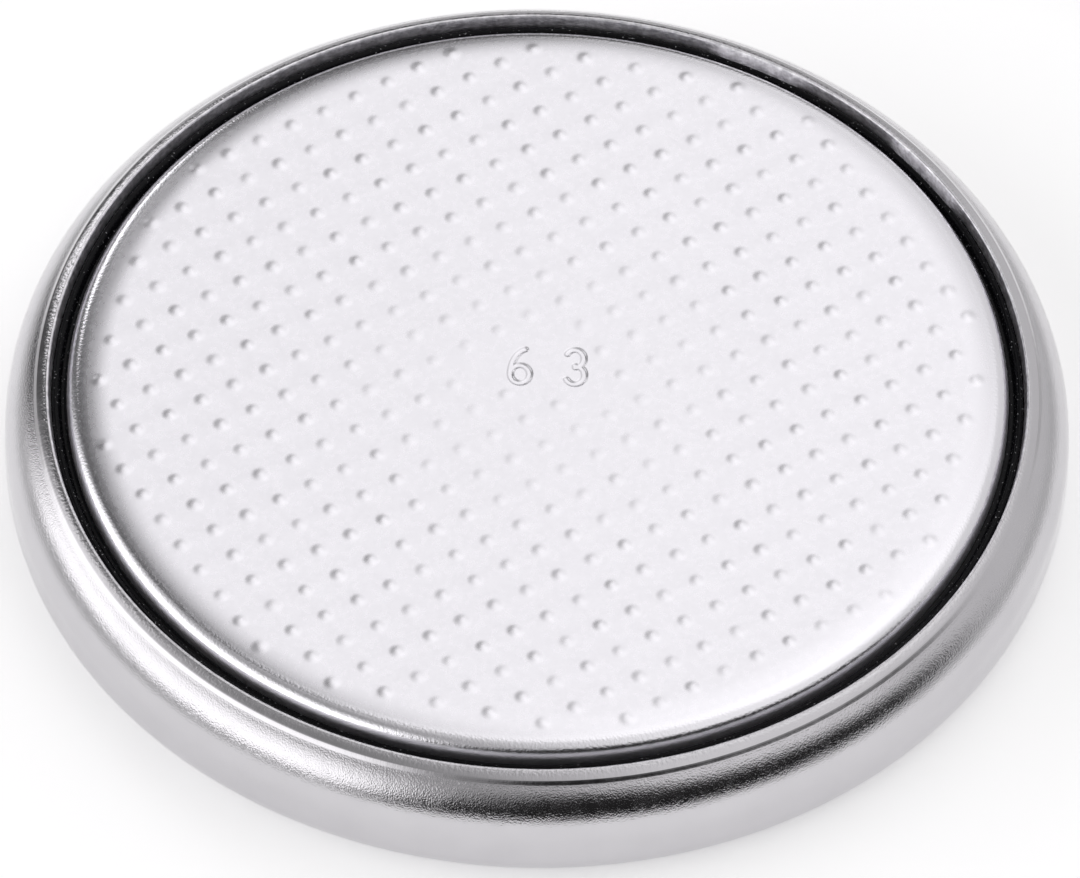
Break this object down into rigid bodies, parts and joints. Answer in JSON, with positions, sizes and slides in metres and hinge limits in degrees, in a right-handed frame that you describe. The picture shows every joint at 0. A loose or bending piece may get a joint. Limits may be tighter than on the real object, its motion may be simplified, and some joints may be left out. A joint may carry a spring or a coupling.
{
  "type": "lithium coin cell",
  "caption": "Flat round lithium coin cell: steel can crimped over a black gasket and a steel cap with small raised pips, with its electrode stack inside.",
  "frame": {"origin": "centre of the positive face, on the plane the cell lies on", "axes": "+Z is the cell's axis, from the positive face up to the negative cap"},
  "size_m": [0.02, 0.02, 0.0025],
  "materials": {
    "can_steel": "bright drawn stainless steel, faintly grained on the shoulder",
    "gasket_black": "glossy black polypropylene",
    "cap_steel": "pale satin stainless steel with a square grid of small round raised pips",
    "lithium": "soft dull silver metal foil",
    "separator_felt": "white non-woven polypropylene",
    "cathode_mix": "matt black pressed powder",
    "ring_steel": "thin drawn stainless steel"
  },
  "bodies": {
    "root": {"positive_can": "can_steel", "gasket": "gasket_black", "negative_cap": "cap_steel", "lithium_anode": "lithium", "separator": "separator_felt", "cathode_pellet": "cathode_mix", "cathode_ring": "ring_steel"}
  },
  "joints": []
}
